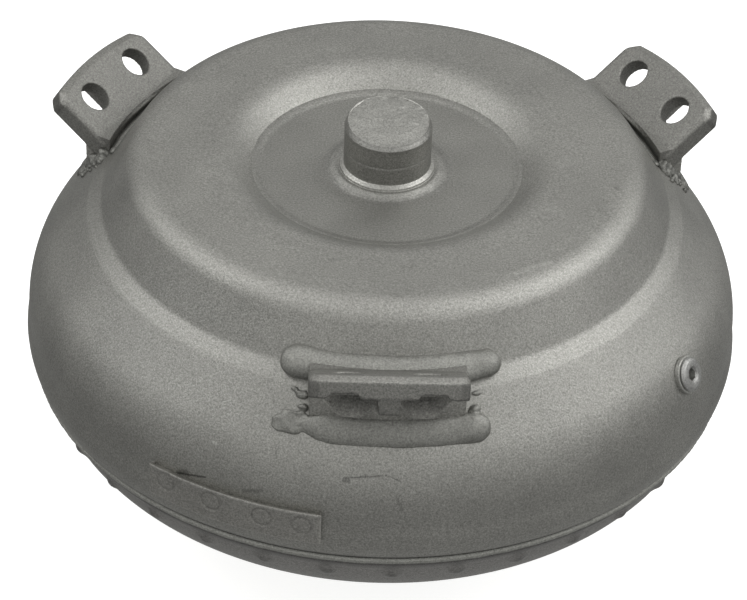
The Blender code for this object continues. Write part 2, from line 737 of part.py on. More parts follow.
# ---------------------------------------------------------------- stator and its one-way clutch
def stator_wheel():
    """Cast wheel: hub, slanted blades and outer band in one piece."""
    finish = material("stator_aluminium", ALUMINIUM, 0.4)
    hub = box_ring("stator_wheel", 40.4, 57.0, -8.0, 16.0, finish)
    band = box_ring("stator_band", 74.6, 77.0, -7.0, 15.0, finish)
    PARTS.objects.unlink(band)
    CUTTERS.objects.link(band)
    blade = block("stator_blade", (56.0, -1.4, -7.5), (75.6, 1.4, 15.5))
    lean = Matrix.Rotation(math.radians(28), 4, "X")
    drop = Matrix.Translation((0, 0, 4.0 * MM))
    lift = Matrix.Translation((0, 0, -4.0 * MM))
    shorten = Matrix.Diagonal((1, 1, 0.86, 1))
    blades = many("stator_blades", blade, STATOR_BLADES,
                  lambda i: around(2 * math.pi * i / STATOR_BLADES) @ drop @ lean @ shorten @ lift)
    boolean(hub, blades, "UNION")
    boolean(hub, band, "UNION")
    return hub


def outer_race():
    return box_ring("clutch_outer_race", 33.0, 40.1, -7.0, 15.0, material("race_steel", BRIGHT_STEEL, 0.25))


def inner_race():
    """Splined race that the gearbox's fixed shaft holds."""
    race = box_ring("clutch_inner_race", 18.6, 26.5, -10.0, 17.3, material("race_steel", BRIGHT_STEEL, 0.25))
    boolean(race, spline_grooves("stator_spline", 18.2, 20.0, SPLINE_TEETH, -15.0, 25.0))
    return race


def roller(index):
    piece = rod(f"clutch_roller_{index + 1}", ROLLER_RADIUS, -5.0, 13.0, sides=12, group=PARTS)
    piece.data.materials.append(material("roller_steel", BRIGHT_STEEL, 0.15))
    piece.matrix_world = around(2 * math.pi * index / ROLLER_COUNT, ROLLER_PITCH)
    smooth(piece)
    return piece


def main():
    cover = front_cover()
    crank_pilot()
    piston_guide()
    for index in range(LUG_COUNT):
        mounting_lug(index)
        lug_weld(index, "upper", *UPPER_WELD)
        lug_weld(index, "lower", *LOWER_WELD)
    drain_plug(cover)
    balance_weight()
    pump_shell()
    closure_weld()
    pump_hub()
    hub_weld()
    last = BLADE_START + BLADE_REACH
    blading("impeller_blades", PUMP_TORUS, PUMP_WALL, -BLADE_START, -last, IMPELLER_BLADES)
    for side, sizes in THRUST_BEARINGS.items():
        thrust_bearing(f"thrust_bearing_{side}", *sizes)
    turbine_shell()
    blading("turbine_blades", TURBINE_TORUS, TURBINE_WALL, BLADE_START, last, TURBINE_BLADES)
    turbine_hub()
    damper_hub_plate()
    for side, heights in DAMPER_PLATES.items():
        damper_plate(f"damper_{side}_plate", *heights)
    for index in range(SPRING_COUNT):
        damper_spring(index)
    for index in range(SPACER_COUNT):
        damper_spacer(index)
    friction_disc()
    finish = material("lining_paper", PAPER, 0.9, 0.0)
    for side, heights in LININGS.items():
        box_ring(f"friction_lining_{side}", *LINING_RADII, *heights, finish)
    lockup_piston()
    strap_carrier()
    for index in range(STRAP_COUNT):
        leaf_strap(index)
    stator_wheel()
    outer_race()
    inner_race()
    for index in range(ROLLER_COUNT):
        roller(index)
    finish = material("retainer_steel", STEEL, 0.35)
    for side, heights in RETAINERS.items():
        box_ring(f"clutch_retainer_{side}", *RETAINER_RADII, *heights, finish)


clear_scene()
PARTS = collection("torque_converter")
CUTTERS = collection("cutters")
COVER_ENVELOPE = cover_envelope()
LUG_KEEP_OFF = lug_keep_off()
main()
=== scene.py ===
"""Finished look of the torque converter: fine surfaces, steel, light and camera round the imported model.

Sections are written in millimetres as (radius, height), with heights above the plane of the cover's lip.
"""
import json
import math

import bmesh
import bpy
from mathutils import Matrix, Vector, noise


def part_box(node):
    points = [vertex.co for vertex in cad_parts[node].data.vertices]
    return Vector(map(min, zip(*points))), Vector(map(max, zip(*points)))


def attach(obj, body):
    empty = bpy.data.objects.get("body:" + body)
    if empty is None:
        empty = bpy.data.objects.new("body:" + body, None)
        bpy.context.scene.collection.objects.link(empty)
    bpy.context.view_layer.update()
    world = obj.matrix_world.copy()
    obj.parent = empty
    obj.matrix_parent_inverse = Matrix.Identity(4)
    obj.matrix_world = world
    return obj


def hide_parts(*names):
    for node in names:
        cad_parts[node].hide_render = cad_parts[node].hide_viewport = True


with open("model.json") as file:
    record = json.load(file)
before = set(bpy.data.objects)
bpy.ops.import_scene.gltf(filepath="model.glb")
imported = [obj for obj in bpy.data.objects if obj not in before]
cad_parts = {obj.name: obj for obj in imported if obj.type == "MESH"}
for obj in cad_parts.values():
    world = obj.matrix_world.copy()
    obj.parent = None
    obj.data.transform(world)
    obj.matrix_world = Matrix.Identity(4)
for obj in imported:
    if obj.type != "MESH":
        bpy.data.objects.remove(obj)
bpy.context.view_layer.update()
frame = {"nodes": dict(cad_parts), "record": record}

# ---------------------------------------------------------------- sizes (millimetres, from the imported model)
MM = 0.001
GAP = 0.3
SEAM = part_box("front_cover")[0].z / MM - GAP          # lip plane above the floor
LIP_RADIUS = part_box("front_cover")[1].x / MM
COVER_RADIUS = LIP_RADIUS - 0.8
COVER_WALL = 4.5
DISH_Z = 74.0
DISH_RADIUS = 48.5
PLATEAU_Z = 80.7
PILOT_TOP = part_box("crank_pilot")[1].z / MM - SEAM
PILOT_RADIUS = 15.6

PUMP_WALL = 3.5
PUMP_TORUS = (90.0, 2.0, 34.5)
PUMP_FLOOR_Z = -23.4
HUB_RADIUS = 24.0
HUB_BORE = 20.2
HUB_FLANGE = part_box("pump_hub")[1].x / MM
HUB_FLANGE_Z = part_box("pump_hub")[1].z / MM - SEAM
KNUCKLE_COUNT = 34                                    # bumps in the pump shell, one for each blade tab
KNUCKLE_FIRST = math.radians(-88.2)
KNUCKLE_RADIUS = 121.9
KNUCKLE_Z = -11.4

LUG_COUNT = 3
LUG_TILT = math.radians(34.0)
LUG_RADIUS = 114.9
LUG_Z = 70.8
LUG_HALF_WIDTH = 26.9
LUG_THICKNESS = 8.1
LUG_OUTER = 12.4
LUG_INNER = -14.5
LUG_CORNER = 3.4
LUG_CHAMFER = 2.5
LUG_HOLE_RADIUS = 5.6
LUG_HOLE_PITCH = 27.3
RIB_HALF_WIDTH = 4.1
LEG_RADIUS = 114.3
WELD_VOXEL = 0.42

SIDE_ARC = (90.6, 17.7, 38.0)
PLUG_ANGLE = math.radians(-31.8)
PLUG_RISE = math.radians(26.2)
WEIGHT_START = math.radians(-128.0)
WEIGHT_END = math.radians(-99.4)
WEIGHT_HEIGHTS = (7.4, 20.2)

SLOT_OF = {part["node"]: part["material_slot"] for part in frame["record"]["subparts"]}


# ---------------------------------------------------------------- materials
def add(tree, kind, inputs=None, **settings):
    """A node with its settings and inputs; an input is a value or another node's output."""
    made = tree.nodes.new(kind)
    for key, value in settings.items():
        setattr(made, key, value)
    for key, value in (inputs or {}).items():
        if isinstance(value, bpy.types.NodeSocket):
            tree.links.new(value, made.inputs[key])
        else:
            made.inputs[key].default_value = value
    return made


def spread(tree, value, low, high, source=(0.3, 0.7)):
    """Maps a noise value to the range low to high."""
    return add(tree, "ShaderNodeMapRange", {"Value": value, "From Min": source[0], "From Max": source[1],
                                            "To Min": low, "To Max": high}).outputs[0]


def math_node(tree, operation, *values):
    return add(tree, "ShaderNodeMath", dict(enumerate(values)), operation=operation).outputs[0]


def vector_math(tree, operation, value, other, output=0):
    """Vector Math of a vector with another, or with a scale."""
    key = "Scale" if operation == "SCALE" else 1
    return add(tree, "ShaderNodeVectorMath", {0: value, key: other}, operation=operation).outputs[output]


def noise_node(tree, place, scale, detail=4.0, roughness=0.5):
    return add(tree, "ShaderNodeTexNoise", {"Vector": place, "Scale": scale, "Detail": detail,
                                            "Roughness": roughness}).outputs[0]


def streak(tree, place, rough, start, end, width, factor):
    """Tone of a darker or lighter line or patch between two spots given as (radius, height, azimuth in
    degrees).
    """
    head, tail = (round_axis(r, z + SEAM, math.radians(turn)) for r, z, turn in (start, end))
    span = tail - head
    away = vector_math(tree, "SUBTRACT", place, head)
    share = vector_math(tree, "DOT_PRODUCT", away, span / span.length_squared, "Value")
    share = add(tree, "ShaderNodeClamp", {0: share}).outputs[0]
    foot = vector_math(tree, "SCALE", span, share)
    distance = vector_math(tree, "DISTANCE", away, foot, "Value")
    distance = math_node(tree, "MULTIPLY", distance, spread(tree, rough, 0.6, 1.4))
    return spread(tree, distance, factor, 1.0, (width * 0.4, width))


def steel(name, colour, roughness, metallic=0.9, grain=0.5, mottle=0.07, relief=0.16, turned_lines=0.0,
          dirt=0.0, marks=()):
    """Blasted or machined metal: fine grain, slow blotches, marks and, on turned pieces, lines round the axis.

    A mesh may carry a point value, partly wear and partly painted light and shade, by which its surface is
    lighter or darker there.
    """
    made = bpy.data.materials.new(name)
    made.use_nodes = True
    tree = made.node_tree
    shader = tree.nodes["Principled BSDF"]
    place = vector_math(tree, "SCALE", add(tree, "ShaderNodeTexCoord").outputs["Object"], 1 / MM)
    fine = noise_node(tree, place, 1.5, 4.0, 0.85)
    wide = noise_node(tree, place, 0.035, 5.0, 0.6)
    tone = math_node(tree, "MULTIPLY", spread(tree, fine, 1 - grain, 1 + grain),
                     spread(tree, wide, 1 - mottle, 1 + mottle))
    height = fine
    if turned_lines:
        parts = add(tree, "ShaderNodeSeparateXYZ", {0: place})
        across = math_node(tree, "MULTIPLY", parts.outputs[0], parts.outputs[0])
        along = math_node(tree, "MULTIPLY", parts.outputs[1], parts.outputs[1])
        radius = math_node(tree, "SQRT", math_node(tree, "ADD", across, along))
        section = add(tree, "ShaderNodeCombineXYZ", {0: radius, 1: parts.outputs[2]}).outputs[0]
        lines = noise_node(tree, section, 2.6)
        tone = math_node(tree, "MULTIPLY", tone, spread(tree, lines, 1 - turned_lines, 1 + turned_lines))
        height = math_node(tree, "ADD", height, math_node(tree, "MULTIPLY", lines, 2.0))
    if dirt:
        stain = noise_node(tree, place, 0.16, 8.0, 0.7)
        tone = math_node(tree, "MULTIPLY", tone, spread(tree, stain, 1.0, 1 - dirt, (0.56, 0.68)))
    for start, end, width, factor in marks:
        tone = math_node(tree, "MULTIPLY", tone, streak(tree, place, fine, start, end, width, factor))
    wear_and_painted_light = add(tree, "ShaderNodeAttribute", attribute_name="wear_and_painted_light").outputs["Fac"]
    tone = math_node(tree, "MULTIPLY", tone, math_node(tree, "ADD", wear_and_painted_light, 1.0))
    tree.links.new(vector_math(tree, "SCALE", colour, tone), shader.inputs["Base Color"])
    tree.links.new(spread(tree, wide, roughness - 0.05, roughness + 0.05), shader.inputs["Roughness"])
    shader.inputs["Metallic"].default_value = metallic
    bump = add(tree, "ShaderNodeBump", {"Height": height, "Strength": 1.0, "Distance": relief * MM}).outputs[0]
    tree.links.new(bump, shader.inputs["Normal"])
    return made


# lines and patches darker or lighter than the sheet: start and end as (radius, height, degrees), width, and
# tone against the bare sheet
COVER_MARKS = (
    ((128.6, 19.5, -123.5), (128.3, 22.4, -118.5), 0.6, 0.4),
    ((128.5, 20.2, -123.0), (128.4, 21.2, -121.8), 1.5, 0.6),
    ((128.3, 22.0, -111.7), (128.1, 23.8, -109.0), 1.0, 0.72),
    ((122.0, 39.1, -107.8), (123.9, 36.0, -107.4), 0.5, 0.6),
    ((125.3, 33.2, -96.0), (124.6, 34.7, -89.8), 0.45, 0.6),
    ((124.6, 34.7, -89.8), (125.4, 32.8, -87.8), 0.45, 0.62),
    ((125.6, 32.3, -96.4), (125.6, 32.5, -95.9), 1.3, 0.68),
    ((127.6, 26.5, -88.1), (128.3, 22.6, -87.4), 0.9, 0.75),
    ((82.5, 80.4, -60.1), (84.0, 80.3, -49.0), 1.6, 1.22),
    ((82.8, 80.4, -12.9), (82.8, 80.4, -12.5), 1.3, 0.8),
    ((124.2, 35.4, -118.2), (124.3, 35.2, -117.6), 0.7, 1.6),
)


def make_materials():
    """One material for each of the record's slots."""
    grey = (0.287, 0.285, 0.267)
    return {
        "cover_steel": steel("cover_steel", grey, 0.43, dirt=0.05, marks=COVER_MARKS),
        "pilot_steel": steel("pilot_steel", (0.27, 0.268, 0.252), 0.44, relief=0.05, turned_lines=0.025,
                             dirt=0.12),
        "lug_steel": steel("lug_steel", (0.216, 0.214, 0.2), 0.5, grain=0.5, relief=0.2, dirt=0.08),
        "weld_metal": steel("weld_metal", (0.25, 0.25, 0.233), 0.52, grain=0.45, relief=0.18, dirt=0.1),
        "plug_steel": steel("plug_steel", (0.34, 0.34, 0.33), 0.36, turned_lines=0.04),
        "seal_metal": steel("seal_metal", (0.34, 0.34, 0.32), 0.4),
        "weight_steel": steel("weight_steel", (0.285, 0.28, 0.262), 0.5, grain=0.5, relief=0.2, dirt=0.14),
        "pump_steel": steel("pump_steel", (0.26, 0.255, 0.245), 0.46, dirt=0.08),
        "hub_steel": steel("hub_steel", (0.46, 0.46, 0.45), 0.24, grain=0.04, relief=0.01, turned_lines=0.06),
        "blade_steel": steel("blade_steel", (0.36, 0.35, 0.33), 0.38),
        "shell_steel": steel("shell_steel", (0.33, 0.32, 0.3), 0.36),
        "bearing_steel": steel("bearing_steel", (0.55, 0.55, 0.54), 0.18, grain=0.03, relief=0.01,
                               turned_lines=0.04),
        "damper_steel": steel("damper_steel", (0.32, 0.31, 0.29), 0.36),
        "spring_steel": steel("spring_steel", (0.13, 0.13, 0.14), 0.34, grain=0.06, relief=0.02),
        "lining_paper": steel("lining_paper", (0.16, 0.11, 0.06), 0.9, metallic=0.0, grain=0.3, relief=0.15),
        "piston_steel": steel("piston_steel", (0.34, 0.33, 0.31), 0.34, turned_lines=0.05),
        "stator_aluminium": steel("stator_aluminium", (0.6, 0.6, 0.59), 0.42, grain=0.08, relief=0.08),
        "race_steel": steel("race_steel", (0.5, 0.5, 0.49), 0.22, grain=0.03, relief=0.01, turned_lines=0.05),
    }


# ---------------------------------------------------------------- shapes
def round_axis(radius, height, angle):
    return Vector((radius * math.cos(angle), radius * math.sin(angle), height))


def arc(centre, radius, start, end, steps):
    points = []
    for i in range(steps + 1):
        angle = math.radians(start + (end - start) * i / steps)
        points.append((centre[0] + radius * math.cos(angle), centre[1] + radius * math.sin(angle)))
    return points


def rounded(corners, step=3.0):
    """Section points along (radius, height, fillet) corners, each fillet turned into an arc."""
    points = []
    for i, (r, z, fillet) in enumerate(corners):
        here = Vector((r, z))
        if fillet == 0:
            points.append((r, z))
            continue
        back = (Vector(corners[i - 1][:2]) - here).normalized()
        ahead = (Vector(corners[(i + 1) % len(corners)][:2]) - here).normalized()
        half = back.angle(ahead) / 2
        centre = here + (back + ahead).normalized() * (fillet / math.sin(half))
        first = here + back * (fillet / math.tan(half)) - centre
        last = here + ahead * (fillet / math.tan(half)) - centre
        start = math.degrees(math.atan2(first.y, first.x))
        turn = math.degrees(math.atan2(last.y, last.x)) - start
        turn = (turn + 180) % 360 - 180
        points += arc(centre, fillet, start, start + turn, max(2, round(abs(turn) / step)))
    return points


def filled_in(points, spacing):
    """The same section with extra points along its longer stretches."""
    dense = []
    for (r0, z0), (r1, z1) in zip(points, points[1:]):
        parts = max(1, math.ceil(math.hypot(r1 - r0, z1 - z0) / spacing))
        dense += [(r0 + (r1 - r0) * i / parts, z0 + (z1 - z0) * i / parts) for i in range(parts)]
    return dense + [points[-1]]


def section_normals(section):
    """Outward directions of a closed section that runs clockwise."""
    normals = []
    for j in range(len(section)):
        r0, z0 = section[j - 1]
        r1, z1 = section[(j + 1) % len(section)]
        length = math.hypot(r1 - r0, z1 - z0) or 1.0
        normals.append(((z0 - z1) / length, (r1 - r0) / length))
    return normals


def turned(name, section, steps=240, relief=None):
    """Mesh of a closed clockwise section turned about Z; relief(angle, radius, height) pushes it outwards."""
    normals = section_normals(section)
    vertices = []
    rings = []
    for i in range(steps):
        angle = 2 * math.pi * i / steps
        ring = []
        for j, (r, z) in enumerate(section):
            if r < GAP * 0.01 and i:
                ring.append(rings[0][j])
                continue
            push = relief(angle, r, z) if relief else 0.0
            out = r + normals[j][0] * push if r > GAP * 0.01 else 0.0
            ring.append(len(vertices))
            vertices.append((out * math.cos(angle) * MM, out * math.sin(angle) * MM,
                             (z + normals[j][1] * push + SEAM) * MM))
        rings.append(ring)
    faces = []
    for i in range(steps):
        here, there = rings[i], rings[(i + 1) % steps]
        for j in range(len(section)):
            k = (j + 1) % len(section)
            corners = tuple(dict.fromkeys((here[j], here[k], there[k], there[j])))
            if len(corners) > 2:
                faces.append(corners)
    mesh = bpy.data.meshes.new(name)
    mesh.from_pydata(vertices, [], faces)
    return mesh


def mesh_from(name, shape):
    mesh = bpy.data.meshes.new(name)
    shape.to_mesh(mesh)
    shape.free()
    return mesh


def smooth(mesh, angle=32.0):
    mesh.shade_smooth()
    mesh.set_sharp_from_angle(angle=math.radians(angle))


def shade(mesh, tone):
    """Gives each point of a mesh its value of wear and painted light and shade: how much lighter or darker it
    is there.
    """
    wear_and_painted_light = mesh.attributes.new("wear_and_painted_light", "FLOAT", "POINT")
    for vertex in mesh.vertices:
        wear_and_painted_light.data[vertex.index].value = tone(vertex.co / MM)


def piece(name, mesh, node, angle=32.0, place=None):
    """Shows a mesh in place of a CAD node, with that node's material slot and body."""
    smooth(mesh, angle)
    obj = bpy.data.objects.new(name, mesh)
    bpy.context.scene.collection.objects.link(obj)
    if place:
        obj.matrix_world = place
    slot = SLOT_OF[node]
    if not mesh.materials:
        mesh.materials.append(MATERIALS[slot])
    body = next(b for b, members in frame["record"]["behaviour"]["bodies"].items() if node in members)
    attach(obj, body)
    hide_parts(node)
    return obj


def helper(name, mesh):
    obj = bpy.data.objects.new(name, mesh)
    bpy.context.scene.collection.objects.link(obj)
    return obj


def apply_modifiers(obj):
    evaluated = obj.evaluated_get(bpy.context.evaluated_depsgraph_get())
    obj.data = bpy.data.meshes.new_from_object(evaluated)
    obj.modifiers.clear()


def settled(obj):
    """The helper's mesh with its modifiers applied; the helper is removed."""
    apply_modifiers(obj)
    mesh = obj.data
    bpy.data.objects.remove(obj)
    return mesh


def boolean(obj, mesh, operation="DIFFERENCE"):
    cutter = helper("cutter", mesh)
    step = obj.modifiers.new(operation.lower(), "BOOLEAN")
    step.operation = operation
    step.object = cutter
    apply_modifiers(obj)
    bpy.data.objects.remove(cutter)


def bevelled(obj, width, angle):
    """Eases the edges sharper than an angle."""
    edge = obj.modifiers.new("edge", "BEVEL")
    edge.width = width * MM
    edge.segments = 2
    edge.limit_method = "ANGLE"
    edge.angle_limit = math.radians(angle)
    apply_modifiers(obj)


def softened(obj, voxel, passes, push=None):
    """One skin of small even faces over everything in the helper, its edges eased and its surface pushed."""
    skin = obj.modifiers.new("skin", "REMESH")
    skin.mode = "VOXEL"
    skin.voxel_size = voxel * MM
    ease = obj.modifiers.new("ease", "SMOOTH")
    ease.factor = 0.5
    ease.iterations = passes
    mesh = settled(obj)
    if push:
        normals = [v.normal.copy() for v in mesh.vertices]
        for vertex, normal in zip(mesh.vertices, normals):
            vertex.co += normal * push(vertex.co / MM) * MM
    return mesh


def joined(name, meshes):
    shape = bmesh.new()
    for mesh in meshes:
        shape.from_mesh(mesh)
    return mesh_from(name, shape)


def extruded(name, points, low, high):
    """A flat outline made solid between two heights, in its own frame."""
    shape = bmesh.new()
    bottom = [shape.verts.new((x * MM, y * MM, low * MM)) for x, y in points]
    top = [shape.verts.new((x * MM, y * MM, high * MM)) for x, y in points]
    shape.faces.new(bottom)
    shape.faces.new(top)
    for i in range(len(points)):
        k = (i + 1) % len(points)
        shape.faces.new((bottom[i], bottom[k], top[k], top[i]))
    bmesh.ops.recalc_face_normals(shape, faces=shape.faces)
    return mesh_from(name, shape)


# ---------------------------------------------------------------- cover
COVER_CORNERS = [
    (0, DISH_Z, 0),
    (45.2, DISH_Z, 5),
    (48.1, 75.0, 0),
    (48.4, 74.97, 0),
    (48.8, 75.35, 0),
    (57.2, PLATEAU_Z + 0.6, 14),
    (90.2, PLATEAU_Z - 0.52, 12),
    (102.0, 60.1, 6),
    (107.2, 56.0, 10),
    (COVER_RADIUS, 31.5, 38),
    (COVER_RADIUS, 14.0, 0),
]


def cover_outside():
    """Outside section from the axis to the lip, which rolls in over the pump shell."""
    lip = [(LIP_RADIUS - 0.1, 9.5), (LIP_RADIUS, 7.5), (LIP_RADIUS - 0.2, 5.5), (LIP_RADIUS - 0.6, 3.6),
           (LIP_RADIUS - 1.2, 1.6), (127.6, 0.6), (127.3, GAP)]
    return rounded(COVER_CORNERS) + lip


def on_cover(radius):
    """Height of the cover's outside at a radius on its shoulder or side."""
    outline = cover_outside()
    for (r0, z0), (r1, z1) in zip(outline, outline[1:]):
        if r0 <= radius < r1 and radius > 60:
            return z0 + (z1 - z0) * (radius - r0) / (r1 - r0)
    raise ValueError(f"the cover has no outside at radius {radius}")


def cover_relief(angle, radius, height):
    """Slow unevenness of the pressed sheet."""
    if radius < 70:
        return 0.0
    spot = round_axis(radius, height, angle) * 0.03
    return 0.05 * (noise.noise(spot) - 1.0)


def front_cover():
    outside = filled_in(cover_outside(), 3.0)
    inside = []
    for (r, z), (nr, nz) in zip(outside, section_normals(outside + [(0, -20)])):
        if nz > -0.3 and z > 8:
            inside.append((max(0.0, r - nr * COVER_WALL), z - nz * COVER_WALL))
    inside = [(0, DISH_Z - COVER_WALL)] + inside[1:] + [(LIP_RADIUS - COVER_WALL - 0.2, GAP)]
    mesh = turned("front_cover_shell", outside + inside[::-1], 360, cover_relief)

    def tone(spot):
        """Painted shade: the dish a little darker, and a painted shadow in the seam under the lip."""
        if spot.z < SEAM + 1.0:
            return -0.45
        return -0.09 if math.hypot(spot.x, spot.y) < DISH_RADIUS else 0.0
    shade(mesh, tone)
    return piece("front_cover_shell", mesh, "front_cover")


def crank_pilot():
    """Boss with a rough, sloping sawn end, a turned side with one fine groove, and its weld ring."""
    groove = 83.9
    edge = 94.2
    foot = 90.5                                           # the end's slope starts above this
    weld_top = 76.0
    weld_edge = 24.6
    section = rounded([
        (0, edge + 0.7, 0),
        (9.0, edge + 0.6, 12),
        (PILOT_RADIUS - 1.2, edge, 0.25),
        (PILOT_RADIUS, edge - 2.3, 0.35),
        (PILOT_RADIUS, groove + 0.35, 0),
        (PILOT_RADIUS - 0.14, groove, 0),
        (PILOT_RADIUS, groove - 0.35, 0),
        (PILOT_RADIUS, 76.9, 0.15),
        (17.0, 76.05, 0.3),
        (17.15, 75.3, 0.2),
        (18.4, 75.45, 0.8),
        (21.8, DISH_Z + 0.15, 4),
        (weld_edge, DISH_Z - 0.1, 0),
        (weld_edge, DISH_Z - 0.8, 0),
        (0, DISH_Z - 0.8, 0),
    ], step=12)

    def relief(angle, radius, height):
        spot = round_axis(radius, height, angle)
        if height > edge - 0.1:
            rough = 0.1 + 0.2 * max(0.0, min(1.0, 0.5 + spot.y / 12.0))
            return -0.3 + 0.25 * noise.noise(spot * 0.2) + rough * noise.noise(spot * 0.6)
        if height < weld_top:
            return 0.08 * noise.noise(spot * 0.3)
        return 0.0
    mesh = turned("crank_pilot_boss", filled_in(section, 0.7), 240, relief)
    for vertex in mesh.vertices:
        share = min(1.0, max(0.0, (vertex.co.z / MM - SEAM - foot) / (edge - foot)))
        along = vertex.co.y / MM / PILOT_RADIUS
        lean = 1.15 * along - 0.5 * max(0.0, -along - 0.05 * math.sin(vertex.co.x / MM * 0.4))
        vertex.co.z += share * lean * MM

    def tone(spot):
        """Lighter ring at the foot and pale sawn end; painted shade on the weld ring round the foot and on the
        chamfer round the end, and a faint painted highlight on the foot's rounded flank between.
        """
        radius, height = math.hypot(spot.x, spot.y), spot.z - SEAM
        if height < weld_top + 1.0:
            return 0.22 if radius < 17.2 else (0.05 if radius < 20.5 else -0.1)
        if height < groove + 6.0:
            return -0.02
        return 0.22 + 0.12 * noise.noise(spot * 0.35) if radius < PILOT_RADIUS - 1.25 else -0.1
    shade(mesh, tone)
    return piece("crank_pilot_boss", mesh, "crank_pilot")


# ---------------------------------------------------------------- lugs and their welds
def lug_turn(index):
    return Matrix.Rotation(index * 2 * math.pi / LUG_COUNT, 4, "Z")


def lug_slope():
    """The plate's own frame: Y outwards along its slope, its top face at Z = 0, the lug along -Y."""
    place = Matrix.Translation((0, -LUG_RADIUS * MM, (LUG_Z + SEAM) * MM))
    return place @ Matrix.Rotation(math.pi, 4, "Z") @ Matrix.Rotation(LUG_TILT, 4, "X")


def lug_outline(x):
    """Outer edge of the plate, arched, with cut corners."""
    straight = LUG_HALF_WIDTH - LUG_CORNER
    return LUG_OUTER - 3.0 * (min(abs(x), straight) / LUG_HALF_WIDTH) ** 2 - max(0.0, abs(x) - straight)


def lug_plate():
    """Plate lofted across its width: arched outer edge with cut corners and a broad chamfer along its top."""
    shape = bmesh.new()
    stations = []
    count = 24
    straight = LUG_HALF_WIDTH - LUG_CORNER
    ends = (LUG_HALF_WIDTH - 1.5, LUG_HALF_WIDTH)
    for x in [-ends[1], -ends[0]] + [straight * (2 * i / count - 1) for i in range(count + 1)] + list(ends):
        outer = lug_outline(x)
        inner = LUG_INNER - 1.5 * (x / LUG_HALF_WIDTH) ** 2
        top = -1.3 if abs(x) == LUG_HALF_WIDTH else 0.0
        section = [(inner, top), (outer - LUG_CHAMFER, top), (outer, -LUG_CHAMFER * 0.9 + top / 2),
                   (outer, -LUG_THICKNESS), (inner, -LUG_THICKNESS)]
        stations.append([shape.verts.new((x * MM, y * MM, z * MM)) for y, z in section])
    for here, there in zip(stations, stations[1:]):
        for j in range(len(here)):
            k = (j + 1) % len(here)
            shape.faces.new((here[j], there[j], there[k], here[k]))
    shape.faces.new(stations[0])
    shape.faces.new(stations[-1][::-1])
    bmesh.ops.recalc_face_normals(shape, faces=shape.faces)
    mesh = mesh_from("lug_plate", shape)
    mesh.transform(lug_slope())
    return mesh


def ring_sector(name, inner, outer, low, high, half_width, steps=24):
    """A curved block between two radii, cut off parallel to X at +-half_width, standing along -Y."""
    points = []
    for i in range(steps + 1):
        x = half_width * (2 * i / steps - 1)
        points.append((x, -math.sqrt(outer ** 2 - x ** 2)))
    for i in range(steps + 1):
        x = half_width * (1 - 2 * i / steps)
        points.append((x, -math.sqrt(inner ** 2 - x ** 2)))
    return extruded(name, points, low + SEAM, high + SEAM)


def lug_bore(name, section):
    """A turned cutter at each bolt hole, square to the plate; section heights count from its top face."""
    mesh = turned(name, section, 64)
    mesh.transform(Matrix.Translation((0, 0, -SEAM * MM)))
    pair = []
    for side in (-1, 1):
        copy = mesh.copy()
        copy.transform(lug_slope() @ Matrix.Translation((side * LUG_HOLE_PITCH * MM / 2, 0, 0)))
        pair.append(copy)
    return joined(name, pair)


def cover_envelope():
    """The cover's outside, slightly grown, which trims the lug's inner edge."""
    grown = [(r + 0.35, z + 0.35) for r, z in cover_outside()]
    return turned("cover_envelope", [(0, DISH_Z)] + grown[1:-2] + [(LIP_RADIUS, -10), (0, -10)], 180)


def lug_mesh():
    """Plate, sawn leg and rib in one skin, with a pocket and a bore at each bolt hole."""
    plate = helper("lug", lug_plate())
    bevelled(plate, 0.5, 35)
    under = -LUG_THICKNESS
    rib = extruded("rib", [(-RIB_HALF_WIDTH, -8), (RIB_HALF_WIDTH, -8), (RIB_HALF_WIDTH, LUG_OUTER),
                           (-RIB_HALF_WIDTH, LUG_OUTER)], under - 5.1, under + 1)
    for vertex in rib.vertices:                           # its foot is narrower and stands back
        if vertex.co.z < (under - 1) * MM:
            vertex.co.x *= 0.84
            vertex.co.y -= 1.4 * MM
    rib.transform(lug_slope())
    roof = under + 1.9
    pocket = lug_bore("pocket", [(0, roof), (12.0, roof), (12.6, under - 0.1), (12.6, under - 18),
                                 (0, under - 18)])
    bore = lug_bore("bore", [(0, 12), (LUG_HOLE_RADIUS + 12.3, 12), (LUG_HOLE_RADIUS, -0.3),
                             (LUG_HOLE_RADIUS, -26), (0, -26)])
    boolean(plate, ring_sector("leg", 104.0, LEG_RADIUS, 43.0, 64.0, LUG_HALF_WIDTH - 0.4), "UNION")
    boolean(plate, pocket)
    boolean(plate, rib, "UNION")
    boolean(plate, bore)
    boolean(plate, cover_envelope())

    flat = lug_slope().inverted()

    def cast(spot):
        """Sawn and cast roughness on the leg; the plate stays nearly flat."""
        rough = 0.09 if (flat @ (spot * MM)).z / MM < under - 0.8 else 0.03
        return rough * (noise.noise(spot * 0.8) + noise.noise(spot * 2.1))
    mesh = softened(plate, WELD_VOXEL, 2, cast)

    def tone(spot):
        """Lighter sawn leg and chamfer, a painted shadow in the pockets under the plate, darker outer edge."""
        place = flat @ (spot * MM) / MM
        beyond = place.y - lug_outline(place.x)
        if place.z < under - 0.3 and not (abs(place.x) < RIB_HALF_WIDTH + 0.5 and beyond > -2.5):
            # painted shadow: darker in the pockets under the plate, most next to its underside
            painted_shadow_under_plate = math.exp(-((abs(place.x) - 11.5) / 7.5) ** 4) * math.exp(-((place.z - under) / 7.5) ** 2)
            return 0.5 - 1.0 * painted_shadow_under_plate + 0.35 * noise.noise(spot * 1.5)
        if place.z < -LUG_CHAMFER * 0.9 - 0.1:
            return -0.27 if beyond > -2.0 else 0.0
        return 0.2 if place.z < -0.25 and beyond > -LUG_CHAMFER else 0.0
    shade(mesh, tone)
    return mesh


